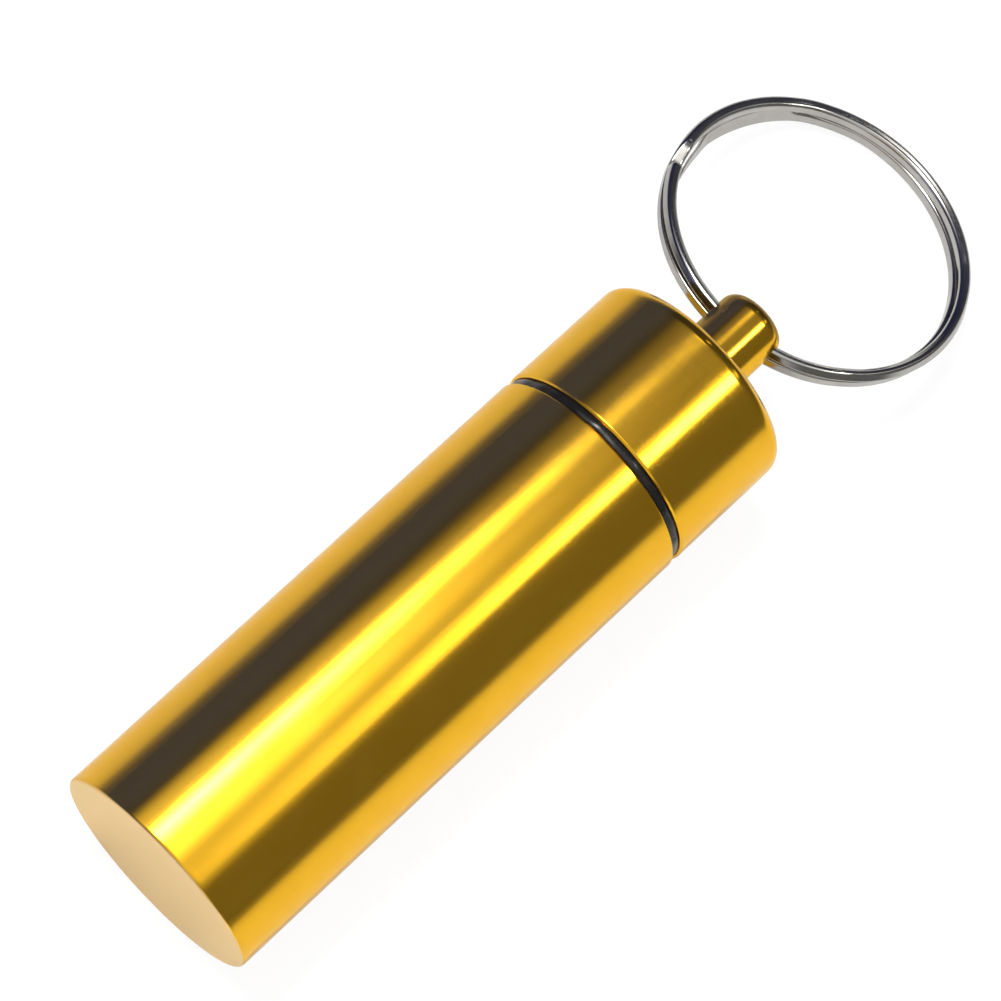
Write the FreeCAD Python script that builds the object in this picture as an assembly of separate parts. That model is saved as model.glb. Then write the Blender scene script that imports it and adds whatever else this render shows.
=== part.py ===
import FreeCAD, Part
import math
import os

from FreeCAD import Vector

# Screw-top pill fob lying on its side, with its sealing ring and its split key ring.
# The barrel's axis runs along X, from the closed base to the cap, and the fob lies on the plane
# Z = 0. The origin is on that plane, under the middle of the whole object.

# Barrel: a turned cup with a threaded neck (mm)
barrel_diameter = 14.0
barrel_length = 34.25
base_thickness = 1.8
base_bevel = 0.2
bore_corner = 0.6
neck_wall = 0.85
neck_lead = 0.35
neck_headroom = 1.35

# Sealing ring, squeezed between the barrel's shoulder and the cap's rim (mm)
seal_height = 0.6
seal_recess = 0.2
seal_bevel = 0.16
seal_fit = 0.05
seam_bevel = 0.12

# Cap: one turned piece with a post for the key ring (mm)
cap_length = 8.5
cap_wall = 0.95
cap_roof = 1.7
cap_edge_round = 0.85
cap_lead = 0.3
cap_corner = 0.4
thread_clearance = 0.3
post_diameter = 4.4
post_length = 5.33
post_tip_round = 0.85
eye_tip_wall = 0.42
eye_clearance = 0.12
eye_edge_bevel = 0.16

# Split ring: two turns of flattened wire (mm, degrees)
ring_diameter = 20.0
wire_width = 0.78
wire_height = 0.75
wire_bevel_share = 0.25
turn_gap = 0.05
lower_turn_shift = 0.2
step_length = 2.1
ring_side_turn = 8.2
wire_start = 114.0
step_sections = 9

# Tail of the lower turn, sprung inward and drawn to a point that passes inside the step (mm)
bend_length = 12.0
point_length = 5.8
point_width = 0.14
tail_inset = 0.87
tail_drop = 0.05
tail_past_start = 0.6
step_clearance = 0.07
tail_sections = 25

# Cuts and edge picking (mm)
overrun = 1.0
same_place = 0.001

# Sizes that follow from those above
barrel_radius = barrel_diameter / 2
cap_bore_radius = barrel_radius - cap_wall
neck_radius = cap_bore_radius - thread_clearance
bore_radius = neck_radius - neck_wall
rim_x = barrel_length + seal_height
face_x = rim_x + cap_length
roof_x = face_x - cap_roof
neck_end_x = roof_x - neck_headroom
post_radius = post_diameter / 2
tip_x = face_x + post_length

ring_radius = ring_diameter / 2
wire_radius = ring_radius - wire_width / 2
wire_bevel = wire_bevel_share * wire_height
layer_height = (wire_height + turn_gap) / 2
stack_height = 2 * wire_height + turn_gap
side_turn = math.radians(ring_side_turn)
tail_length = bend_length + point_length
draw_length = point_length - step_length - tail_past_start - step_clearance


def eye_reach():
    """Furthest that the curved pair of wires stands from the eye's axis inside the post."""
    low_place = -wire_radius * math.tan(side_turn)
    places = [-post_radius, max(low_place, -post_radius), post_radius]
    bows = [y * math.tan(side_turn) + y * y / (2 * wire_radius) for y in places]
    across = max(abs(bow) for bow in bows) + wire_width / 2
    at_side = math.hypot(across, stack_height / 2 - wire_bevel)
    at_top = math.hypot(across - wire_bevel, stack_height / 2)
    return max(at_side, at_top)


eye_radius = eye_reach() + eye_clearance
eye_x = tip_x - eye_tip_wall - eye_radius


def resting_lean():
    """Angle below the level at which the ring's far side touches the plane under the fob."""
    along = wire_radius * math.cos(side_turn) + ring_radius - wire_bevel
    across = stack_height / 2
    return math.asin(barrel_radius / math.hypot(along, across)) - math.atan2(across, along)


lean = resting_lean()
ring_middle_x = eye_x + wire_radius * math.cos(side_turn) * math.cos(lean)
ring_end_x = (ring_middle_x + ring_radius * math.cos(lean)
              + (stack_height / 2 - wire_bevel) * math.sin(lean))
axis_start = Vector(-ring_end_x / 2, -wire_radius * math.sin(side_turn), barrel_radius)
eye_middle = axis_start + Vector(eye_x, 0, 0)


def on_axis(x, radius):
    """Point of a turned profile: its distance from the base and its distance from the axis."""
    return axis_start + Vector(x, 0, radius)


def turned(edges):
    """Solid turned about the fob's axis from a closed profile."""
    profile = Part.Face(Part.Wire(edges))
    return profile.revolve(axis_start, Vector(1, 0, 0), 360)


def run(*points):
    """Straight edges through profile points."""
    places = [on_axis(x, radius) for x, radius in points]
    return [Part.LineSegment(a, b).toShape() for a, b in zip(places, places[1:])]


def bend(start, middle, end):
    """Round edge through three profile points."""
    return Part.Arc(on_axis(*start), on_axis(*middle), on_axis(*end)).toShape()


def barrel():
    """Cup with a bevelled base, a flat shoulder for the seal and a plain neck for the thread."""
    return turned(run(
        (0, 0),
        (0, barrel_radius - base_bevel),
        (base_bevel, barrel_radius),
        (barrel_length - seam_bevel, barrel_radius),
        (barrel_length, barrel_radius - seam_bevel),
        (barrel_length, neck_radius),
        (neck_end_x - neck_lead, neck_radius),
        (neck_end_x, neck_radius - neck_lead),
        (neck_end_x, bore_radius),
        (base_thickness + bore_corner, bore_radius),
        (base_thickness, bore_radius - bore_corner),
        (base_thickness, 0),
        (0, 0)))


def o_ring():
    """Rubber ring with flat squeezed sides and a drawn-in edge on each side of its outside."""
    inside = neck_radius + seal_fit
    outside = barrel_radius - seal_recess
    return turned(run(
        (barrel_length, inside),
        (barrel_length, outside - seal_bevel),
        (barrel_length + seal_bevel, outside),
        (rim_x - seal_bevel, outside),
        (rim_x, outside - seal_bevel),
        (rim_x, inside),
        (barrel_length, inside)))


def post_eye():
    """Cross hole through the post."""
    reach = post_radius + overrun
    start = eye_middle - Vector(0, reach, 0)
    return Part.makeCylinder(eye_radius, 2 * reach, start, Vector(0, 1, 0))


def eye_edges(shape):
    """Edges where the eye breaks through the post's side."""
    found = []
    for edge in shape.Edges:
        spot = edge.valueAt((edge.FirstParameter + edge.LastParameter) / 2) - eye_middle
        off_wall = abs(math.hypot(spot.x, spot.z) - eye_radius)
        if off_wall < same_place and edge.BoundBox.YLength < post_radius:
            found.append(edge)
    return found


def cap():
    """Bored cap with a rounded far edge and a round-ended post, drilled across for the key ring."""
    diagonal_share = math.sqrt(0.5)
    tip_middle = post_radius - post_tip_round
    tip_start = tip_x - post_tip_round
    edge_x = face_x - cap_edge_round
    edge_middle = barrel_radius - cap_edge_round
    side = run(
        (roof_x, 0),
        (roof_x, cap_bore_radius - cap_corner),
        (roof_x - cap_corner, cap_bore_radius),
        (rim_x + cap_lead, cap_bore_radius),
        (rim_x, cap_bore_radius + cap_lead),
        (rim_x, barrel_radius - seam_bevel),
        (rim_x + seam_bevel, barrel_radius),
        (edge_x, barrel_radius))
    edge = bend(
        (edge_x, barrel_radius),
        (edge_x + cap_edge_round * diagonal_share, edge_middle + cap_edge_round * diagonal_share),
        (face_x, edge_middle))
    face = run((face_x, edge_middle), (face_x, post_radius), (tip_start, post_radius))
    tip = bend(
        (tip_start, post_radius),
        (tip_start + post_tip_round * diagonal_share, tip_middle + post_tip_round * diagonal_share),
        (tip_x, tip_middle))
    middle = run((tip_x, tip_middle), (tip_x, 0), (roof_x, 0))
    drilled = turned(side + [edge] + face + [tip] + middle).cut(post_eye())
    return drilled.makeChamfer(eye_edge_bevel, eye_edges(drilled))


def wire_section(angle, height, shift, inner, outer):
    """Bevelled section of the flattened wire, at an angle round a turn's middle and a height."""
    bevel = min(wire_bevel, wire_bevel_share * (outer - inner))
    tall = wire_height / 2
    low_tall = tall - bevel
    corners = [(outer, low_tall), (outer - bevel, tall), (inner + bevel, tall), (inner, low_tall),
               (inner, -low_tall), (inner + bevel, -tall), (outer - bevel, -tall), (outer, -low_tall)]
    points = [Vector(wire_radius + out, 0, height + up) for out, up in corners]
    section = Part.makePolygon(points + points[:1])
    section.rotate(Vector(0, 0, 0), Vector(0, 0, 1), angle)
    section.translate(Vector(0, shift, 0))
    return section


def full_section(angle, height, shift):
    """Section of the wire at its full width."""
    return wire_section(angle, height, shift, -wire_width / 2, wire_width / 2)


def round_angle(length):
    """Angle round the ring of a length along the wire's middle."""
    return math.degrees(length / wire_radius)


def eased(share):
    """Share of a change that starts and ends gently."""
    return (1 - math.cos(math.pi * share)) / 2


def flat_turn(start, sweep, height, shift):
    """Stretch of wire that stays at one height, round a middle that may stand to one side."""
    face = Part.Face(full_section(start, height, shift))
    return face.revolve(Vector(0, shift, 0), Vector(0, 0, 1), sweep)


def step():
    """Stretch of wire that goes down by one layer."""
    shares = [i / (step_sections - 1) for i in range(step_sections)]
    places = [wire_start - round_angle(step_length * (1 - share)) for share in shares]
    heights = [layer_height * math.cos(math.pi * share) for share in shares]
    shifts = [lower_turn_shift * eased(share) for share in shares]
    return Part.makeLoft([full_section(*each) for each in zip(places, heights, shifts)], True, False)


def tail_section(start, along):
    """Section of the tail: bent inward first, then narrowed from both sides to a point."""
    bend_share = eased(min(along / bend_length, 1))
    into_point = max(0, along - bend_length)
    point_share = (into_point / point_length) ** 4
    draw_share = eased(min(into_point / draw_length, 1))
    inner = -wire_width / 2 - tail_inset * bend_share
    outer = wire_width / 2 - tail_inset * bend_share
    clear_of_step = lower_turn_shift + step_clearance
    inner += (tail_inset - clear_of_step - point_width) * point_share
    outer -= (wire_width - tail_inset + clear_of_step) * draw_share
    height = -layer_height - tail_drop * bend_share
    return wire_section(start + round_angle(along), height, lower_turn_shift, inner, outer)


def split_ring():
    """Two turns in one wire: level, a step down past the wire's own start, level again and a tail."""
    upper_sweep = 360 - round_angle(step_length)
    lower_sweep = 360 + round_angle(tail_past_start - tail_length)
    lengths = [tail_length * i / (tail_sections - 1) for i in range(tail_sections)]
    tail = [tail_section(wire_start + lower_sweep, along) for along in lengths]
    pieces = [
        flat_turn(wire_start, upper_sweep, layer_height, 0),
        step(),
        flat_turn(wire_start, lower_sweep, -layer_height, lower_turn_shift),
        Part.makeLoft(tail, True, False)]
    ring = pieces[0].fuse(pieces[1:])
    ring.rotate(Vector(0, 0, 0), Vector(0, 1, 0), math.degrees(lean))
    level_reach = wire_radius * math.cos(side_turn)
    ring.translate(eye_middle + Vector(level_reach * math.cos(lean), wire_radius * math.sin(side_turn),
                                       -level_reach * math.sin(lean)))
    return ring


os.makedirs("parts", exist_ok=True)
for make in (barrel, o_ring, cap, split_ring):
    solid = make()
    print(make.__name__, solid.isValid(), len(solid.Solids), round(solid.Volume, 3), solid.BoundBox)
    solid.exportStep("parts/%s.step" % make.__name__)
print("lean %.3f degrees, eye radius %.3f, eye %s" % (math.degrees(lean), eye_radius, eye_middle))
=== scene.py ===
import math

import bpy
from mathutils import Matrix, Vector


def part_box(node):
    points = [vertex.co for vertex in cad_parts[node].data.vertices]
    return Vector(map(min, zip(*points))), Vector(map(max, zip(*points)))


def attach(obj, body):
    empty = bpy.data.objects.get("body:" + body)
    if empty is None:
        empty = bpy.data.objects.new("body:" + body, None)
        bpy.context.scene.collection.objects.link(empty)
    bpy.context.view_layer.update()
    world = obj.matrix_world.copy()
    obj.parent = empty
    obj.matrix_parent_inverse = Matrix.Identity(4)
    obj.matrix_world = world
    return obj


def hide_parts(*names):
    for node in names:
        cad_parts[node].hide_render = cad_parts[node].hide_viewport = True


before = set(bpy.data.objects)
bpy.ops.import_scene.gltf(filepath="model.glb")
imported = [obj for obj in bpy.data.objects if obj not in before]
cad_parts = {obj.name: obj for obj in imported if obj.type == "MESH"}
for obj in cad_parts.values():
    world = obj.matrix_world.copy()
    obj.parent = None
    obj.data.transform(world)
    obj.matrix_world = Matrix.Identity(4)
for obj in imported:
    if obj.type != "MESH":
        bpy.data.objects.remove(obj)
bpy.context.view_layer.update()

# A screw-top pill fob lying on its side, with its rubber seal and its split key ring.
# Lengths are in millimetres. Along the fob, x is counted from its base, and r is off its axis.

MM = 0.001
QUARTER_TURN, FULL_TURN = math.pi / 2, 2 * math.pi

# Where the fob lies: its axis runs along X, one radius above the floor
RADIUS = 7.0
barrel_low, barrel_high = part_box("barrel")
BASE_X = barrel_low.x / MM
AXIS_Y, AXIS_Z = (barrel_low.y + barrel_high.y) / 2 / MM, RADIUS

# Barrel, cap and post: places along the axis, radii, bevels and rounded edges
SHOULDER, RIM, FACE, TIP = 34.25, 34.85, 43.35, 48.68
NECK_R, BORE_R, CAP_BORE_R = 5.75, 4.9, 6.05
BORE_END, NECK_END, ROOF = 1.8, 40.3, 41.65
POST_R, EYE_X, EYE_R = 2.2, 47.01548, 1.2445
SEAM_BEVEL, NECK_LEAD, CAP_LEAD = 0.12, 0.35, 0.3
BORE_CORNER, ROOF_CORNER = 0.6, 0.4
BASE_ROUND, CAP_ROUND, TIP_ROUND = 0.22, 0.85, 0.85
CRISP, FINE, BLUNT, SOFT, MOUTH_ROUND, ROOF_ROUND, BORE_ROUND = 0.05, 0.06, 0.08, 0.1, 0.12, 0.15, 0.3
CAP_ROUND_STEPS = 9

# Longest runs between the points of a turned profile, finest on the post and just round its foot
BARREL_RUN, CAP_RUN, POST_RUN = 3.0, 2.0, 0.07
POST_FOOT, SAME_PLACE = 0.2, 0.001
NO_RADIUS = 1e-6

# Mouth of the eye: its flare, and the stretch of bore between the two mouths
EYE_AROUND, EYE_FLARE, FLARE_STEPS = 160, 0.15, 6
EYE_MIDDLE, MOUTH_SHARE = 0.6, 0.4
PAST_POST = ((0.02, 0.06), (0.6, 1.6))

# Seal: half its height, how deep its sides lie, how far its outside swells, and its uneven squeeze
SEAL_HALF, SEAL_DEPTH, SEAL_SWELL, SEAL_FIT = 0.3, 0.36, 0.2, 0.05
SEAL_FULLNESS, SEAL_STEPS, SEAL_AROUND = 0.6, 32, 384
SQUEEZE_FROM, SQUEEZE_RUN, SQUEEZE_OUT, SQUEEZE_ALONG = 6.6, 0.24, 0.035, 0.03
LUMPS = ((0.6, 5, 0.8), (0.5, 13, 2.1), (0.4, 27, 0.4))
WAVES, WAVE_PHASE = 17, 1.3

# Screw thread: its sunk foot, the turns over which its ends fade, and its ridge as (x, share of its height)
PITCH, THREAD_DEPTH, THREAD_SINK = 1.0, 0.23, 0.06
THREAD_FOOT, THREAD_FADE, THREAD_LEAST = 0.28, 0.35, 0.02
THREAD_RIDGE = ((-0.25, 0.0), (-0.15, 0.75), (-0.09, 0.97), (0.0, 1.0),
                (0.09, 0.97), (0.15, 0.75), (0.25, 0.0))
NECK_THREAD_X, NECK_TURNS = SHOULDER + 1.35, 4.3
CAP_THREAD_X, CAP_TURNS = RIM + 0.35, 5.2
PLACES_PER_TURN = 72

# Split ring, in its own plane: angles in degrees from the far side, heights up through the two turns
RING_LEAN = math.radians(18.92327)
RING_MIDDLE = Vector((23.181546, 0.0, 3.915324))
WIRE_R, WIRE_W, WIRE_H, LAYER = 9.61, 0.78, 0.75, 0.4
HALF_W, HALF_H = WIRE_W / 2, WIRE_H / 2
WIRE_START, STEP = 114.0, math.degrees(2.1 / WIRE_R)
LOWER_SHIFT, SHIFT_SWEEP = 0.2, 45
UPPER_PLACES, STEP_PLACES, LOWER_PLACES, TAIL_PLACES = 420, 30, 300, 140

# Corners of the wire's section: outer top, inner top, inner bottom, outer bottom
UPPER_CORNERS, LOWER_CORNERS = (0.3, 0.28, 0.17, 0.1), (0.1, 0.17, 0.16, 0.28)
TAIL_CORNERS = (0.28, 0.16, 0.16, 0.28)
CORNER_STEPS, FLAT_SHARES = 8, (0.08, 0.92)

# Tail of the lower turn: sprung inward, drawn to a point, and ground to a twisted slope
BEND, POINT, INSET, TAIL_DROP, PAST_START = 12.0, 5.8, 0.87, 0.03, 0.6
LOWER_SWEEP = 360 + math.degrees((PAST_START - BEND - POINT) / WIRE_R)
POINT_INNER, POINT_POWER, POINT_OUTER, POINT_OUTER_RUN = 0.46, 4, 0.18, 3.0
WEDGE_START, WEDGE_RUN, TAIL_TWIST = 2.0, 4.5, 14.0
SLOPE_ROOM, SLOPE_ROOM_START, SLOPE_ROOM_RUN = 0.29, 0.3, 2.4
SLOPE_X, SLOPE_Y, SLOPE_EDGE = 2.0, 1.4, 0.8

# Unevenness of the wire: small humps (angle, rise), and the twist and lean of the upper turn
HUMPS, HUMP_WIDTH = ((42, 0.03), (230, 0.04)), 5
FAR_TWIST, FAR_TWIST_AT, FAR_TWIST_WIDTH = 4.6, 357, 34
LEAN_START, LEAN_END, LEAN_RUN = 88, 275, 50
LEAN_LEAST, LEAN_MORE, LEAN_MORE_START, LEAN_MORE_RUN = 20.0, 13.0, 165, 75
LEAN_LIFT, LEAN_THINNING = 0.03, 0.13

# Ends of the wire: (degrees on, taken off each half size) at the start, (degrees on, share) at the point
CUT_START = ((0.0, 0.1), (0.12, 0.05), (0.35, 0.012))
BLUNT_POINT = ((0.35, 0.85), (0.6, 0.5))


# Meshes

def rounded(corners, steps=7):
    """Profile points through corners (x, radius, fillet), with guard points beside each fillet."""
    guard_share, longest_guard = 0.25, 0.05
    out = []
    for i, (x, r, fillet) in enumerate(corners):
        here = Vector((x, r))
        if fillet == 0:
            out.append(here)
            continue
        before = Vector(corners[i - 1][:2]) - here
        after = Vector(corners[(i + 1) % len(corners)][:2]) - here
        half = before.angle(after) / 2
        back = fillet / math.tan(half)
        middle = here + (before.normalized() + after.normalized()).normalized() * (fillet / math.sin(half))
        start, end = here + before.normalized() * back, here + after.normalized() * back
        a0, a1 = start - middle, end - middle
        turn = a0.angle_signed(a1)
        guard = min(fillet * guard_share, longest_guard)
        out.append(start + before.normalized() * guard)
        for k in range(steps + 1):
            a = -turn * k / steps
            out.append(middle + Vector((a0.x * math.cos(a) - a0.y * math.sin(a),
                                        a0.x * math.sin(a) + a0.y * math.cos(a))))
        out.append(end + after.normalized() * guard)
    return out


def divided(points, longest):
    """The same profile with its long runs divided."""
    out = []
    for a, b in zip(points, points[1:]):
        count = max(1, math.ceil((b - a).length / longest))
        out += [a.lerp(b, k / count) for k in range(count)]
    return out + [points[-1]]


def on_axis(x, r, angle):
    """Point of the fob at a place along its axis, a radius and an angle round it."""
    return BASE_X + x, AXIS_Y + r * math.cos(angle), AXIS_Z + r * math.sin(angle)


def mesh_object(name, verts, faces, material):
    """Smooth mesh from points in millimetres."""
    mesh = bpy.data.meshes.new(name)
    mesh.from_pydata([Vector(v) * MM for v in verts], [], faces)
    mesh.validate()
    for polygon in mesh.polygons:
        polygon.use_smooth = True
    obj = bpy.data.objects.new(name, mesh)
    bpy.context.collection.objects.link(obj)
    mesh.materials.append(material)
    return obj


def turned(name, profile, material, segments=256, wave=None):
    """Surface turned about the fob's axis from a profile of (x, radius)."""
    verts, faces, rows = [], [], []
    for x, r in profile:
        if r < NO_RADIUS:
            rows.append([len(verts)])
            verts.append((BASE_X + x, AXIS_Y, AXIS_Z))
            continue
        rows.append(list(range(len(verts), len(verts) + segments)))
        for k in range(segments):
            a = FULL_TURN * k / segments
            dx, dr = wave(r, a) if wave else (0.0, 0.0)
            verts.append(on_axis(x + dx, r + dr, a))
    for a, b in zip(rows, rows[1:]):
        for k in range(segments):
            n = (k + 1) % segments
            if len(a) == 1 and len(b) == 1:
                continue
            if len(a) == 1:
                faces.append((a[0], b[k], b[n]))
            elif len(b) == 1:
                faces.append((a[k], b[0], a[n]))
            else:
                faces.append((a[k], b[k], b[n], a[n]))
    return mesh_object(name, verts, faces, material)


def thread(name, root, reach, start, turns, material, phase=0.0):
    """Helical ridge with faded ends; reach is outward from the root, or inward if negative."""
    count = int(PLACES_PER_TURN * turns)
    fade_places = THREAD_FADE * PLACES_PER_TURN
    sink = -THREAD_SINK if reach > 0 else THREAD_SINK
    verts, faces = [], []
    for i in range(count + 1):
        angle = FULL_TURN * i / PLACES_PER_TURN
        fade = min(1.0, i / fade_places, (count - i) / fade_places)
        lift = reach * (THREAD_LEAST + (1 - THREAD_LEAST) * fade)
        middle = start + PITCH * angle / FULL_TURN
        ridge = [(dx, share * lift) for dx, share in THREAD_RIDGE]
        section = [(-THREAD_FOOT, sink)] + ridge + [(THREAD_FOOT, sink)]
        verts += [on_axis(middle + dx, root + dr, angle + phase) for dx, dr in section]
    n = len(section)
    for i in range(count):
        for k in range(n):
            j = (k + 1) % n
            face = (i * n + k, i * n + j, (i + 1) * n + j, (i + 1) * n + k)
            faces.append(face if reach > 0 else face[::-1])
    ends = [tuple(range(n)), tuple(range(count * n + n - 1, count * n - 1, -1))]
    faces += ends if reach > 0 else [face[::-1] for face in ends]
    return mesh_object(name, verts, faces, material)


def eye_cutter():
    """Bore across the post, flared where it meets the post's side so that its edge is round."""
    bends = [QUARTER_TURN * k / FLARE_STEPS for k in range(FLARE_STEPS + 1)]
    steps = [(None, 0.0)]
    steps += [(-EYE_FLARE + EYE_FLARE * math.sin(a), EYE_FLARE * (1 - math.cos(a))) for a in bends]
    steps += [(dy, EYE_FLARE + dr) for dy, dr in PAST_POST]
    rings = [(-1, *step) for step in steps[::-1]] + [(1, *step) for step in steps]
    verts, faces = [], []
    for side, dy, dr in rings:
        for k in range(EYE_AROUND):
            a = FULL_TURN * k / EYE_AROUND
            depth = math.sqrt(POST_R ** 2 - ((EYE_R + MOUTH_SHARE * EYE_FLARE) * math.sin(a)) ** 2)
            y = side * (EYE_MIDDLE if dy is None else depth + dy)
            r = EYE_R + dr
            verts.append((BASE_X + EYE_X + r * math.cos(a), AXIS_Y + y, AXIS_Z + r * math.sin(a)))
    for i in range(len(rings) - 1):
        here, onward = i * EYE_AROUND, (i + 1) * EYE_AROUND
        for k in range(EYE_AROUND):
            j = (k + 1) % EYE_AROUND
            faces.append((here + k, here + j, onward + j, onward + k))
    top = (len(rings) - 1) * EYE_AROUND
    faces += [tuple(range(EYE_AROUND - 1, -1, -1)), tuple(range(top, top + EYE_AROUND))]
    return verts, faces


# Split ring

def eased(share):
    """Share of a change that starts and ends gently."""
    share = min(max(share, 0.0), 1.0)
    return (1 - math.cos(math.pi * share)) / 2


def bulge(angle, middle, width):
    """Gentle hump round the ring."""
    off = (angle - middle + 180) % 360 - 180
    return math.exp(-(off / width) ** 2)


class Place:
    """A section along the wire: where it stands, its half sizes, its twist and how far it is ground off."""

    def __init__(self, angle, height, half_w=HALF_W, half_h=HALF_H,
                 shift=0.0, middle=0.0, twist=0.0, wedge=0.0):
        self.angle, self.height = angle, height
        self.half_w, self.half_h = half_w, half_h
        self.shift, self.middle = shift, middle
        self.twist, self.wedge = twist, wedge

    def moved(self, on, half_w, half_h):
        """The same section some degrees further on, with other half sizes."""
        return Place(self.angle + on, self.height, half_w, half_h,
                     self.shift, self.middle, self.twist, self.wedge)

    def made_uneven(self):
        """The section with the wire's humps, and on the upper turn with its twist and its lean."""
        self.height += sum(rise * bulge(self.angle, middle, HUMP_WIDTH) for middle, rise in HUMPS)
        if self.height > 0:
            lean = eased((self.angle - LEAN_START) / LEAN_RUN)
            lean *= 1 - eased((self.angle - LEAN_END) / LEAN_RUN)
            more = LEAN_MORE * eased((self.angle - LEAN_MORE_START) / LEAN_MORE_RUN)
            self.twist += FAR_TWIST * bulge(self.angle, FAR_TWIST_AT, FAR_TWIST_WIDTH)
            self.twist += (LEAN_LEAST + more) * lean
            self.height += LEAN_LIFT * lean
            self.half_w *= 1 - LEAN_THINNING * lean
            self.half_h *= 1 - LEAN_THINNING * lean
        return self


def wire_section(corners):
    """Section of the wire in units of its half sizes: flat sides between round corners."""
    arcs = []
    for quarter, corner in enumerate(corners):
        x = (HALF_W - corner) * (1 if quarter in (0, 3) else -1)
        y = (HALF_H - corner) * (1 if quarter in (0, 1) else -1)
        turns = [QUARTER_TURN * (quarter + k / CORNER_STEPS) for k in range(CORNER_STEPS + 1)]
        arcs.append([((x + corner * math.cos(t)) / HALF_W, (y + corner * math.sin(t)) / HALF_H)
                     for t in turns])
    out = []
    for arc, following in zip(arcs, arcs[1:] + arcs[:1]):
        (x0, y0), (x1, y1) = arc[-1], following[0]
        out += arc + [(x0 + (x1 - x0) * share, y0 + (y1 - y0) * share) for share in FLAT_SHARES]
    return [Vector(point) for point in out]


def wedged(x, y, share):
    """Section point with its inner top side ground off to a slope by a share."""
    over = (-SLOPE_X * (x - SLOPE_EDGE) + SLOPE_Y * (y - 1.0)) / (SLOPE_X ** 2 + SLOPE_Y ** 2)
    if over <= 0:
        return x, y
    return x + SLOPE_X * over * share, y - SLOPE_Y * over * share


def tail_place(along):
    """Section of the tail at a length along it."""
    bent, into = eased(along / BEND), max(0.0, along - BEND)
    inner = -HALF_W - INSET * bent + POINT_INNER * (into / POINT) ** POINT_POWER
    outer = HALF_W - INSET * bent - POINT_OUTER * eased(into / POINT_OUTER_RUN)
    wedge = eased((along - WEDGE_START) / WEDGE_RUN)
    t = math.radians(TAIL_TWIST * wedge)
    spread = 2 * (HALF_W * math.cos(t) + HALF_H * math.sin(t))
    room = outer - inner + SLOPE_ROOM * wedge * (1 - eased((into - SLOPE_ROOM_START) / SLOPE_ROOM_RUN))
    fit = min(1.0, room / spread)
    angle = WIRE_START + LOWER_SWEEP + math.degrees(along / WIRE_R)
    return Place(angle, -LAYER - TAIL_DROP * bent, fit * HALF_W, fit * HALF_H, LOWER_SHIFT,
                 inner + fit * spread / 2, TAIL_TWIST * wedge, wedge)


def wire_places():
    """Sections along the wire: the upper turn, the step down, the lower turn and the tail."""
    out = []
    for k in range(UPPER_PLACES + 1):
        out.append(Place(WIRE_START + (360 - STEP) * k / UPPER_PLACES, LAYER))
    for k in range(1, STEP_PLACES):
        share = k / STEP_PLACES
        out.append(Place(WIRE_START + 360 - STEP * (1 - share), LAYER * math.cos(math.pi * share)))
    for k in range(LOWER_PLACES + 1):
        angle = LOWER_SWEEP * k / LOWER_PLACES
        out.append(Place(WIRE_START + angle, -LAYER, shift=LOWER_SHIFT * eased(angle / SHIFT_SWEEP)))
    for k in range(1, TAIL_PLACES + 1):
        out.append(tail_place((BEND + POINT) * k / TAIL_PLACES))
    out = [place.made_uneven() for place in out]
    first, last = out[0], out[-1]
    start = [first.moved(on, first.half_w - less, first.half_h - less) for on, less in CUT_START]
    end = [last.moved(on, last.half_w * share, last.half_h * share) for on, share in BLUNT_POINT]
    return start + out[1:] + end


def split_ring(material):
    """The whole wire as one mesh, with a UV layer whose U counts its two turns."""
    verts, faces, uvs = [], [], []
    along, across = Vector((math.cos(RING_LEAN), 0, -math.sin(RING_LEAN))), Vector((0, 1, 0))
    upward = Vector((math.sin(RING_LEAN), 0, math.cos(RING_LEAN)))
    places = wire_places()
    section = list(zip(*[wire_section(each) for each in (UPPER_CORNERS, LOWER_CORNERS, TAIL_CORNERS)]))
    for place in places:
        a, t = math.radians(place.angle), math.radians(place.twist)
        outward = along * math.cos(a) + across * math.sin(a)
        upper_share = min(max((place.height + LAYER) / (2 * LAYER), 0.0), 1.0)
        for upper, lower, tail in section:
            out, up = wedged(*lower.lerp(tail, place.wedge).lerp(upper, upper_share), place.wedge)
            out, up = place.half_w * out, place.half_h * up
            out, up = out * math.cos(t) - up * math.sin(t), out * math.sin(t) + up * math.cos(t)
            verts.append(RING_MIDDLE + across * place.shift + outward * (WIRE_R + place.middle + out)
                         + upward * (place.height + up))
    n, spots = len(section), len(places)
    for i in range(spots - 1):
        for k in range(n):
            j = (k + 1) % n
            faces.append((i * n + k, (i + 1) * n + k, (i + 1) * n + j, i * n + j))
            uvs += [(i, k), (i + 1, k), (i + 1, k + 1), (i, k + 1)]
    end = (spots - 1) * n
    faces += [tuple(range(n)), tuple(range(end + n - 1, end - 1, -1))]
    uvs += [(0, k) for k in range(n)] + [(spots - 1, k) for k in range(n)]
    obj = mesh_object("key_ring", verts, faces, material)
    layer = obj.data.uv_layers.new(name="along_wire")
    for item, (i, k) in zip(layer.data, uvs):
        item.uv = (2 * i / spots, k / n)
    return obj


# Materials

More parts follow.
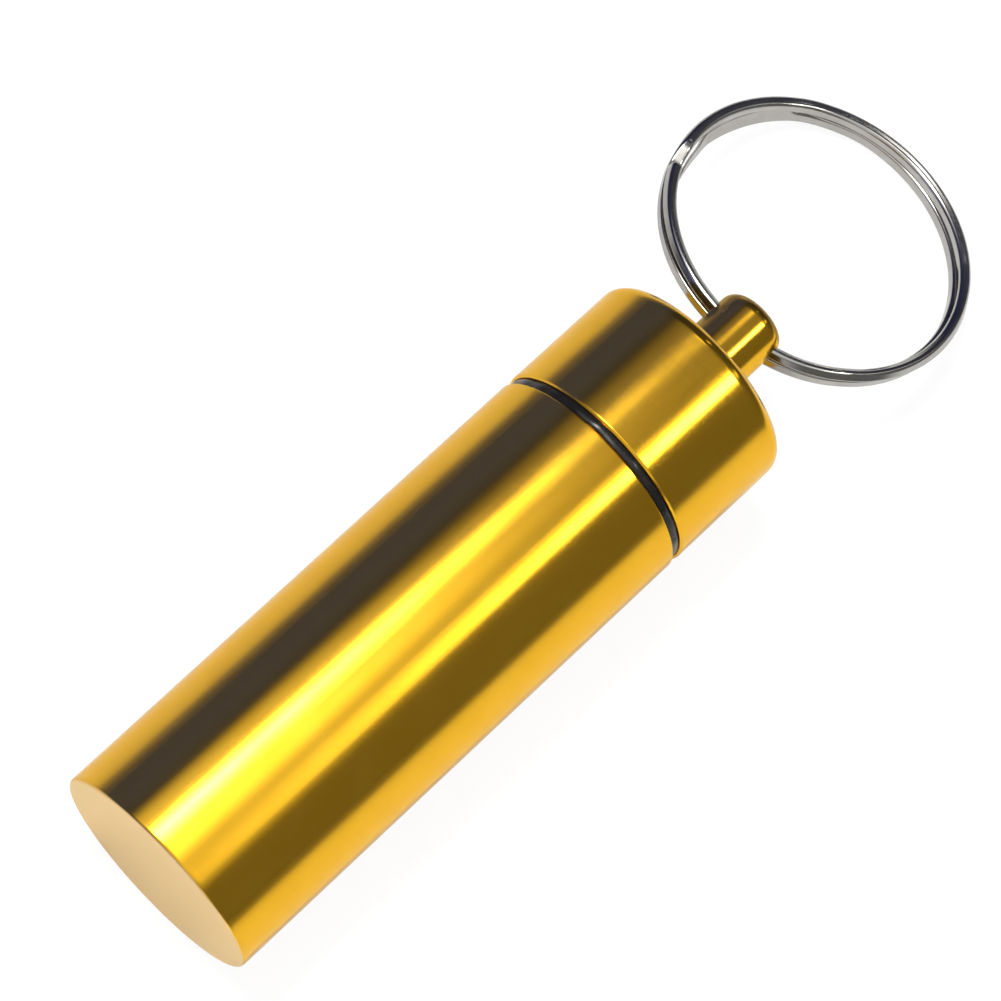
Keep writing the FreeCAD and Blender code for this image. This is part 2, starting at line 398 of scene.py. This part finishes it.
class Nodes:
    """Small helper for building a node tree."""

    def __init__(self, tree):
        self.tree = tree
        tree.nodes.clear()

    def add(self, kind, inputs=None, **settings):
        """Node with its inputs linked or set."""
        node = self.tree.nodes.new(kind)
        for key, value in settings.items():
            setattr(node, key, value)
        for key, value in (inputs or {}).items():
            self.give(node.inputs[key], value)
        return node

    def give(self, socket, value):
        """Link or value for an input."""
        if isinstance(value, bpy.types.NodeSocket):
            self.tree.links.new(value, socket)
        else:
            socket.default_value = value

    def noise(self, vector, scale=1.0, detail=4.0, rough=0.55):
        """Level of a noise."""
        return self.add("ShaderNodeTexNoise", {"Vector": vector, "Scale": scale, "Detail": detail,
                                               "Roughness": rough}).outputs["Fac"]

    def stretched(self, vector, scale):
        """Vector with each of its parts scaled."""
        return self.add("ShaderNodeMapping", {"Vector": vector, "Scale": scale}).outputs["Vector"]

    def span(self, value, low, high, to_low, to_high, smooth=False):
        """Value carried from one range, low to high, into another."""
        node = self.add("ShaderNodeMapRange", {"Value": value, "From Min": low, "From Max": high,
                                               "To Min": to_low, "To Max": to_high})
        if smooth:
            node.interpolation_type = "SMOOTHSTEP"
        return node.outputs["Result"]

    def spread(self, noise, to_low, to_high):
        """Noise, which keeps mostly between 0.3 and 0.7, spread over a range."""
        return self.span(noise, 0.3, 0.7, to_low, to_high)

    def math(self, operation, a, b=0.0):
        """Result of one operation."""
        return self.add("ShaderNodeMath", {0: a, 1: b}, operation=operation).outputs[0]

    def times(self, a, b):
        """Product of two values."""
        return self.math("MULTIPLY", a, b)

    def apart(self, vector):
        """X, Y and Z of a vector."""
        return self.add("ShaderNodeSeparateXYZ", {0: vector}).outputs

    def length(self, **parts):
        """Length of the vector with these parts."""
        vector = self.add("ShaderNodeCombineXYZ", parts).outputs[0]
        return self.add("ShaderNodeVectorMath", {0: vector}, operation="LENGTH").outputs["Value"]

    def mix(self, factor, a, b):
        """Colour between two; the colour inputs of this node are its seventh and eighth."""
        node = self.add("ShaderNodeMix", {"Factor": factor}, data_type="RGBA")
        self.give(node.inputs[6], a)
        self.give(node.inputs[7], b)
        return node.outputs[2]

    def graded(self, value, stops):
        """Ramp of grey levels through stops (place, level)."""
        ramp = self.add("ShaderNodeValToRGB", {"Fac": value})
        elements = ramp.color_ramp.elements
        for element, (spot, level) in ((elements[0], stops[0]), (elements[1], stops[-1])):
            element.position, element.color = spot, (level, level, level, 1)
        for spot, level in stops[1:-1]:
            elements.new(spot).color = (level, level, level, 1)
        return ramp.outputs["Color"]

    def both(self, a, b):
        """Two shaders added."""
        return self.add("ShaderNodeAddShader", {0: a.outputs[0], 1: b.outputs[0]})

    def glow(self, strength):
        """White light of a strength."""
        return self.add("ShaderNodeEmission", {"Color": WHITE, "Strength": strength})

    def show(self, shader):
        """Shader as the material's surface."""
        self.add("ShaderNodeOutputMaterial", {"Surface": shader.outputs[0]})


WHITE = (1, 1, 1, 1)
GOLD_DEEP, GOLD_LIGHT, GOLD_SPECK = (0.85, 0.45, 0.013, 1), (0.87, 0.48, 0.02, 1), (0.92, 0.75, 0.45, 1)
GOLD_RIM_HIGHLIGHT, GOLD_PAINTED_SHADE, GOLD_BASE_REFLECTION = (0.7, 0.66, 0.56, 1), (0.15, 0.08, 0.025, 1), (0.86, 0.635, 0.375, 1)
GOLD_SHEEN = (1.0, 0.86, 0.55, 1)
RUBBER_DARK, RUBBER_LIGHT = (0.005, 0.005, 0.005, 1), (0.014, 0.013, 0.012, 1)
NICKEL_DARK, NICKEL_LIGHT = (0.43, 0.415, 0.38, 1), (0.48, 0.465, 0.43, 1)


def new_material(name):
    """Empty material and the helper for its nodes."""
    material = bpy.data.materials.new(name)
    material.use_nodes = True
    return material, Nodes(material.node_tree)


def gold_anodised():
    """Polished gold: turning marks, specks, a painted highlight on the cap edge, painted shade on the post
    and its tip, and a base face painted paler as a painted reflection.
    """
    material, n = new_material("gold_anodised")
    place = n.add("ShaderNodeTexCoord").outputs["Object"]
    along, across, height = n.apart(place)
    aside = n.math("SUBTRACT", across, AXIS_Y * MM)
    reach = n.length(Y=aside, Z=n.math("SUBTRACT", height, AXIS_Z * MM))

    def between(start, end, to_start=0.0, to_end=1.0, smooth=False):
        """Change between two places along the fob."""
        return n.span(along, (BASE_X + start) * MM, (BASE_X + end) * MM, to_start, to_end, smooth)

    turning = n.noise(n.stretched(place, (9000.0, 60.0, 60.0)), detail=3.0)
    cloud = n.noise(place, scale=420.0, detail=5.0)
    scuffs = n.noise(n.stretched(place, (260.0, 2600.0, 2600.0)), detail=6.0, rough=0.7)
    colour = n.mix(n.spread(cloud, 0.0, 1.0), GOLD_DEEP, GOLD_LIGHT)

    cell = n.add("ShaderNodeTexVoronoi", {"Vector": place, "Scale": 240.0})
    draw = n.add("ShaderNodeSeparateColor", {0: cell.outputs["Color"]}).outputs[0]
    dot = n.span(cell.outputs["Distance"], 0.012, 0.02, 1.0, 0.0)
    speck = n.times(dot, n.math("GREATER_THAN", draw, 0.8))
    colour = n.mix(n.times(speck, 0.5), colour, GOLD_SPECK)

    # Painted highlight: a pale band on the cap's rounded far edge, weak where the edge faces up or down and
    # full on its sides, standing in for the white floor it reflects.
    rim = n.times(between(FACE - 0.5, FACE - 0.28), n.span(reach, 6.1 * MM, 6.3 * MM, 0.0, 1.0))
    rim = n.times(rim, n.span(n.math("ABSOLUTE", aside), 2.0 * MM, 5.0 * MM, 0.1, 1.0))
    colour = n.mix(n.times(rim, n.spread(cloud, 0.35, 0.55)), colour, GOLD_RIM_HIGHLIGHT)

    # Painted shade: the post's rounded tip and its +Y side are painted dark brown, standing in for the dark
    # surroundings they reflect; the same mask also makes them rougher.
    tip = n.times(between(TIP - 0.75, TIP - 0.3, smooth=True), n.span(reach, 1.2 * MM, 1.4 * MM, 0.0, 1.0))
    shaded = n.span(aside, 0.7 * MM, 1.5 * MM, 0.0, 0.9, smooth=True)
    post = n.times(between(FACE + 0.05, FACE + 0.2), shaded)
    dull_and_painted_shade = n.times(n.math("MAXIMUM", tip, post), n.spread(scuffs, 0.75, 1.0))
    colour = n.mix(dull_and_painted_shade, colour, GOLD_PAINTED_SHADE)

    # Painted reflection: the base face and the start of its rounded edge are painted a paler gold, standing
    # in for their glancing reflection; the same mask thickens the coat there.
    foot = between(0.02, 0.1, 1.0, 0.0)
    colour = n.mix(n.times(foot, n.spread(cloud, 0.85, 1.0)), colour, GOLD_BASE_REFLECTION)

    haze = n.span(n.math("DIVIDE", aside, reach), 0.3, 0.5, 0.0, 1.0, smooth=True)
    haze = n.math("MAXIMUM", haze, foot)
    rough = n.math("ADD", n.spread(turning, 0.105, 0.135), n.span(scuffs, 0.45, 0.75, 0.0, 0.035))
    rough = n.math("ADD", rough, n.times(dull_and_painted_shade, 0.15))
    bump = n.add("ShaderNodeBump", {"Height": turning, "Strength": 0.02, "Distance": 0.02 * MM})
    n.show(n.add("ShaderNodeBsdfPrincipled", {
        "Base Color": colour, "Metallic": 1.0, "Roughness": rough, "IOR": 1.5, "Specular Tint": GOLD_SHEEN,
        "Coat Weight": n.span(haze, 0.0, 1.0, 0.4, 1.0), "Coat IOR": n.span(haze, 0.0, 1.0, 1.3, 1.45),
        "Coat Roughness": n.span(haze, 0.0, 1.0, 0.36, 0.75), "Normal": bump.outputs["Normal"]}))
    return material


def seal_rubber():
    """Smooth black rubber with a fine grain."""
    material, n = new_material("seal_rubber")
    place = n.add("ShaderNodeTexCoord").outputs["Object"]
    grain = n.noise(place, scale=5200.0)
    cloud = n.noise(place, scale=700.0, detail=3.0)
    bump = n.add("ShaderNodeBump", {"Height": grain, "Strength": 0.12, "Distance": 0.03 * MM})
    n.show(n.add("ShaderNodeBsdfPrincipled", {
        "Base Color": n.mix(cloud, RUBBER_DARK, RUBBER_LIGHT), "Roughness": n.spread(cloud, 0.2, 0.3),
        "IOR": 1.4, "Normal": bump.outputs["Normal"]}))
    return material


def nickel_steel():
    """Bright nickel with faint drawing marks along the wire."""
    material, n = new_material("nickel_steel")
    coords = n.add("ShaderNodeTexCoord").outputs
    drawn = n.noise(n.stretched(coords["UV"], (30.0, 60.0, 1.0)))
    cloud = n.noise(coords["Object"], scale=900.0)
    bump = n.add("ShaderNodeBump", {"Height": drawn, "Strength": 0.012, "Distance": 0.02 * MM})
    n.show(n.add("ShaderNodeBsdfPrincipled", {
        "Base Color": n.mix(n.spread(cloud, 0.0, 1.0), NICKEL_DARK, NICKEL_LIGHT), "Metallic": 1.0,
        "Roughness": n.spread(drawn, 0.09, 0.17), "Normal": bump.outputs["Normal"]}))
    return material


GOLD, RUBBER, NICKEL = gold_anodised(), seal_rubber(), nickel_steel()


# The object

barrel_outline = rounded([
    (0, 0, 0), (0, RADIUS, BASE_ROUND),
    (SHOULDER - SEAM_BEVEL, RADIUS, BLUNT), (SHOULDER, RADIUS - SEAM_BEVEL, CRISP),
    (SHOULDER, NECK_R, BLUNT), (NECK_END - NECK_LEAD, NECK_R, SOFT),
    (NECK_END, NECK_R - NECK_LEAD, SOFT), (NECK_END, BORE_R, MOUTH_ROUND),
    (BORE_END + BORE_CORNER, BORE_R, BORE_ROUND), (BORE_END, BORE_R - BORE_CORNER, BORE_ROUND),
    (BORE_END, 0, 0)])
barrel = turned("barrel_shell", divided(barrel_outline, BARREL_RUN), GOLD)

cap_outline = rounded([
    (ROOF, 0, 0), (ROOF, CAP_BORE_R - ROOF_CORNER, ROOF_ROUND), (ROOF - ROOF_CORNER, CAP_BORE_R, ROOF_ROUND),
    (RIM + CAP_LEAD, CAP_BORE_R, SOFT), (RIM, CAP_BORE_R + CAP_LEAD, FINE),
    (RIM, RADIUS - SEAM_BEVEL, CRISP), (RIM + SEAM_BEVEL, RADIUS, BLUNT),
    (FACE, RADIUS, CAP_ROUND), (FACE, POST_R, FINE),
    (TIP, POST_R, TIP_ROUND), (TIP, 0, 0)], CAP_ROUND_STEPS)
on_post = [p for p in cap_outline if p.x > FACE - SAME_PLACE and p.y < POST_R + POST_FOOT]
off_post = [p for p in cap_outline if p not in on_post]
cap = turned("cap_shell", divided(off_post, CAP_RUN) + divided(on_post, POST_RUN), GOLD)
cutter = mesh_object("eye_cutter", *eye_cutter(), GOLD)
cut = cap.modifiers.new("eye", "BOOLEAN")
cut.object, cut.operation, cut.solver = cutter, "DIFFERENCE", "EXACT"
drilled = bpy.data.meshes.new_from_object(cap.evaluated_get(bpy.context.evaluated_depsgraph_get()))
cap.modifiers.clear()
cap.data = drilled
cap.data.name = "cap_shell"
bpy.data.objects.remove(cutter)


def seal_side(k):
    """Point of the seal's outside, from the shoulder to the rim."""
    a = math.pi * k / SEAL_STEPS
    return Vector(((SHOULDER + RIM) / 2 - SEAL_HALF * math.cos(a),
                   RADIUS - SEAL_DEPTH + SEAL_SWELL * math.sin(a) ** SEAL_FULLNESS))


def squeezed(r, a):
    """Uneven bulge of the squeezed rubber, on its outside only."""
    share = max(0.0, (r - SQUEEZE_FROM) / SQUEEZE_RUN)
    lumps = sum(size * math.sin(count * a + phase) for size, count, phase in LUMPS)
    return SQUEEZE_ALONG * share * math.sin(WAVES * a + WAVE_PHASE), SQUEEZE_OUT * share * lumps


seal_inside = NECK_R + SEAL_FIT
seal_outline = [Vector((SHOULDER, seal_inside))] + [seal_side(k) for k in range(SEAL_STEPS + 1)]
seal_outline += [Vector((RIM, seal_inside)), Vector((SHOULDER, seal_inside))]
seal = turned("seal_band", seal_outline, RUBBER, SEAL_AROUND, squeezed)

half_pitch_on = (NECK_THREAD_X - CAP_THREAD_X) / PITCH + 0.5
neck_thread = thread("neck_thread", NECK_R, THREAD_DEPTH, NECK_THREAD_X, NECK_TURNS, GOLD)
cap_thread = thread("cap_thread", CAP_BORE_R, -THREAD_DEPTH, CAP_THREAD_X, CAP_TURNS, GOLD,
                    phase=-FULL_TURN * half_pitch_on)

ring = split_ring(NICKEL)

for obj, body, slot in ((barrel, "barrel", "gold_anodised"), (neck_thread, "barrel", "gold_anodised"),
                        (cap, "cap", "gold_anodised"), (cap_thread, "cap", "gold_anodised"),
                        (seal, "seal", "seal_rubber"), (ring, "ring", "nickel_steel")):
    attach(obj, body)
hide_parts("barrel")
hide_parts("cap")
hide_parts("o_ring")
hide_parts("split_ring")


# Stage: white sweep, dim room, graded soft boxes overhead and a small lamp beyond the ring

SWEEP_AROUND, SWEEP_STEPS = 96, 12
SWEEP_INNER, SWEEP_FLAT, SWEEP_RISE_RUN, SWEEP_RISE = 300.0, 1500.0, 1000.0, 230.0
SHOWN_FLOOR, LIT_FLOOR, FLOOR_GLOW = 0.912, 0.46, 0.38
# Painted pool of light on the floor round the object: half its length along X, its offset in Y, its scale
# and its levels (distance, level)
POOL_HALF_LENGTH, POOL_Y, POOL_SCALE = 0.03, -0.023, 5.0
POOL = ((0.0, 1.0), (0.1, 0.97), (0.165, 0.9), (0.26, 0.74), (0.33, 0.63), (0.425, 0.5), (0.515, 0.34),
        (0.7, 0.21), (1.0, 0.17))
SPARK_SPOT, SPARK_WAY = Vector((624, 84, 445)), Vector((601, 84, 441))
ROOM_FRONT, ROOM_BACK = (0.19, 0.19, 0.19, 1), (0.036, 0.039, 0.11, 1)


def floor_material():
    """White to the eye; to all other rays a pool of light painted round the object, in its colour and glow,
    which is what its metal shows.
    """
    material, n = new_material("floor_white")
    spot = n.apart(n.add("ShaderNodeNewGeometry").outputs["Position"])
    past = n.math("MAXIMUM", n.math("SUBTRACT", n.math("ABSOLUTE", spot["X"]), POOL_HALF_LENGTH))
    far = n.length(X=past, Y=n.math("ADD", spot["Y"], -POOL_Y))
    # Painted pool of light: the floor's colour and glow for all but camera rays fall off with distance from
    # the object.
    pool = n.graded(n.times(far, POOL_SCALE), POOL)
    # Painted light: extra glow on the floor far out toward -Y, for all but camera rays.
    painted_side_glow = n.span(spot["Y"], -0.22, -0.06, 0.1, 0.0)
    lit = n.add("ShaderNodeBsdfDiffuse", {"Color": n.times(pool, LIT_FLOOR)})
    near = n.both(lit, n.glow(n.math("ADD", n.times(pool, FLOOR_GLOW), painted_side_glow)))
    grain = n.noise(n.add("ShaderNodeTexCoord").outputs["Object"], scale=900.0)
    veil = n.add("ShaderNodeBsdfDiffuse", {"Color": n.spread(grain, 0.1, 0.115)})
    seen = n.both(n.glow(SHOWN_FLOOR), veil)
    camera_ray = n.add("ShaderNodeLightPath").outputs["Is Camera Ray"]
    n.show(n.add("ShaderNodeMixShader", {0: camera_ray, 1: near.outputs[0], 2: seen.outputs[0]}))
    return material


def sweep(name, material):
    """Round floor that curves up into a low wall."""
    rows = [(SWEEP_INNER, 0.0), (SWEEP_FLAT, 0.0)]
    rows += [(SWEEP_FLAT + SWEEP_RISE_RUN * math.sin(a), SWEEP_RISE * (1 - math.cos(a)))
             for a in (QUARTER_TURN * k / SWEEP_STEPS for k in range(1, SWEEP_STEPS + 1))]
    turns = [FULL_TURN * k / SWEEP_AROUND for k in range(SWEEP_AROUND)]
    verts = [(0.0, 0.0, 0.0)] + [(r * math.cos(a), r * math.sin(a), z) for r, z in rows for a in turns]
    faces = [(0, 1 + k, 1 + (k + 1) % SWEEP_AROUND) for k in range(SWEEP_AROUND)]
    for i in range(len(rows) - 1):
        here, onward = 1 + i * SWEEP_AROUND, 1 + (i + 1) * SWEEP_AROUND
        for k in range(SWEEP_AROUND):
            j = (k + 1) % SWEEP_AROUND
            faces.append((here + k, onward + k, onward + j, here + j))
    mesh_object(name, verts, faces, material)


def card_material(name, strength, stops, edge):
    """Light that is graded along X by stops (place, share), and fades toward its edges across Y."""
    material, n = new_material(name)
    place = n.apart(n.add("ShaderNodeTexCoord").outputs["Generated"])
    off = n.math("ABSOLUTE", n.math("SUBTRACT", place["Y"], 0.5))
    fade = n.span(off, 0.5 - edge, 0.5, 1.0, 0.0, smooth=True)
    level = n.times(n.times(n.graded(place["X"], stops), fade), strength)
    n.show(n.both(n.glow(level), n.add("ShaderNodeBsdfTransparent")))
    return material


def card(name, x, y, z, strength, stops, edge=0.25, turn=0.0):
    """Soft box overhead, with stops (x, share), that shines downward and is turned about its own middle."""
    half_x, half_y = (x[1] - x[0]) / 2, (y[1] - y[0]) / 2
    places = [((spot - x[0]) / (x[1] - x[0]), share) for spot, share in stops]
    signs = ((-1, -1), (1, -1), (1, 1), (-1, 1))
    corners = [(sx * half_x, sy * half_y, 0.0) for sx, sy in signs]
    obj = mesh_object(name, corners, [(3, 2, 1, 0)], card_material(name, strength, places, edge))
    obj.location = Vector(((x[0] + x[1]) / 2, (y[0] + y[1]) / 2, z)) * MM
    obj.rotation_euler = (0.0, 0.0, math.radians(turn))
    obj.visible_camera = obj.visible_shadow = False
    return obj


sweep("floor", floor_material())

card("glow_card", x=(-900, 420), y=(-710, 740), z=606, strength=0.84, edge=0.23,
     stops=((-900, 0.5), (-300, 0.9), (0, 0.95), (115, 0.95), (142, 0.85), (170, 0.7), (200, 0.44),
            (215, 0.24), (230, 0.16), (420, 0.14)))
card("middle_card", x=(-120, 205), y=(-190, 150), z=604, strength=1.32, edge=0.45,
     stops=((-120, 0.3), (0, 1.0), (105, 1.0), (120, 0.95), (140, 0.62), (161, 0.26), (182, 0.06),
            (205, 0.0)))
card("left_box", x=(-160, 330), y=(55, 325), z=600, strength=30.0, edge=0.45, turn=-7.0,
     stops=((-160, 0.3), (60, 1.0), (92, 0.9), (108, 0.6), (126, 0.38), (149, 0.18), (165, 0.053),
            (193, 0.044), (207, 0.018), (225, 0.006), (240, 0.003), (255, 0.01), (272, 0.06), (330, 0.055)))
card("left_core", x=(-160, 200), y=(158, 248), z=594, strength=14.0, edge=0.4, turn=-7.0,
     stops=((-160, 0.6), (60, 1.0), (108, 0.95), (126, 0.75), (146, 0.2), (165, 0.0), (200, 0.0)))
card("right_skirt", x=(110, 420), y=(-545, -215), z=602, strength=1.2,
     stops=((110, 0.0), (150, 0.6), (190, 1.0), (330, 0.8), (420, 0.0)))
card("right_box", x=(190, 460), y=(-468, -300), z=598, strength=30.0, edge=0.2, turn=11.0,
     stops=((190, 0.0), (212, 0.06), (228, 0.12), (245, 0.4), (262, 0.9), (290, 0.9), (315, 0.2),
            (345, 0.0), (460, 0.0)))
card("right_strip", x=(430, 1500), y=(-560, -400), z=596, strength=1.2, edge=0.3, turn=-9.0,
     stops=((430, 0.0), (520, 1.0), (900, 1.0), (1500, 0.5)))
spark = card("spark_lamp", x=(-20, 20), y=(-20, 20), z=0, strength=7.0, edge=0.2,
             stops=((-20, 0.0), (-13, 1.0), (13, 1.0), (20, 0.0)))
spark.location = SPARK_SPOT * MM
spark.rotation_euler = SPARK_WAY.to_track_quat("Z", "Y").to_euler()

# The room is brightest beyond the fob's base and dimmest beyond its ring
world = bpy.data.worlds.new("studio")
bpy.context.scene.world = world
world.use_nodes = True
n = Nodes(world.node_tree)
toward = n.apart(n.add("ShaderNodeTexCoord").outputs["Generated"])
room = n.mix(n.span(toward["Y"], -0.7, 0.7, 0.0, 1.0), ROOM_FRONT, ROOM_BACK)
level = n.times(n.span(toward["X"], 0.3, 0.9, 1.0, 0.6), n.span(toward["X"], -0.85, -0.6, 5.0, 1.0))
glow = n.add("ShaderNodeBackground", {"Color": room, "Strength": level})
n.add("ShaderNodeOutputWorld", {"Surface": glow.outputs[0]})


# Camera

CAMERA_SPOT = Vector((-77.337344, -29.12027, 243.32281))
CAMERA_RIGHT, CAMERA_UP = Vector((0.702988, -0.698992, 0.131217)), Vector((0.64636, 0.704895, 0.292134))
SENSOR, LENS = 36.0, 156.195137
NEAREST, FURTHEST = 0.01, 60.0

camera = bpy.data.objects.new("camera", bpy.data.cameras.new("camera"))
bpy.context.collection.objects.link(camera)
camera.data.sensor_width, camera.data.lens = SENSOR, LENS
camera.data.clip_start, camera.data.clip_end = NEAREST, FURTHEST
back = CAMERA_RIGHT.cross(CAMERA_UP).normalized()
up = back.cross(CAMERA_RIGHT).normalized()
camera.matrix_world = (Matrix.Translation(CAMERA_SPOT * MM)
                       @ Matrix((CAMERA_RIGHT.normalized(), up, back)).transposed().to_4x4())
bpy.context.scene.camera = camera
bpy.context.scene.view_settings.view_transform = "Standard"
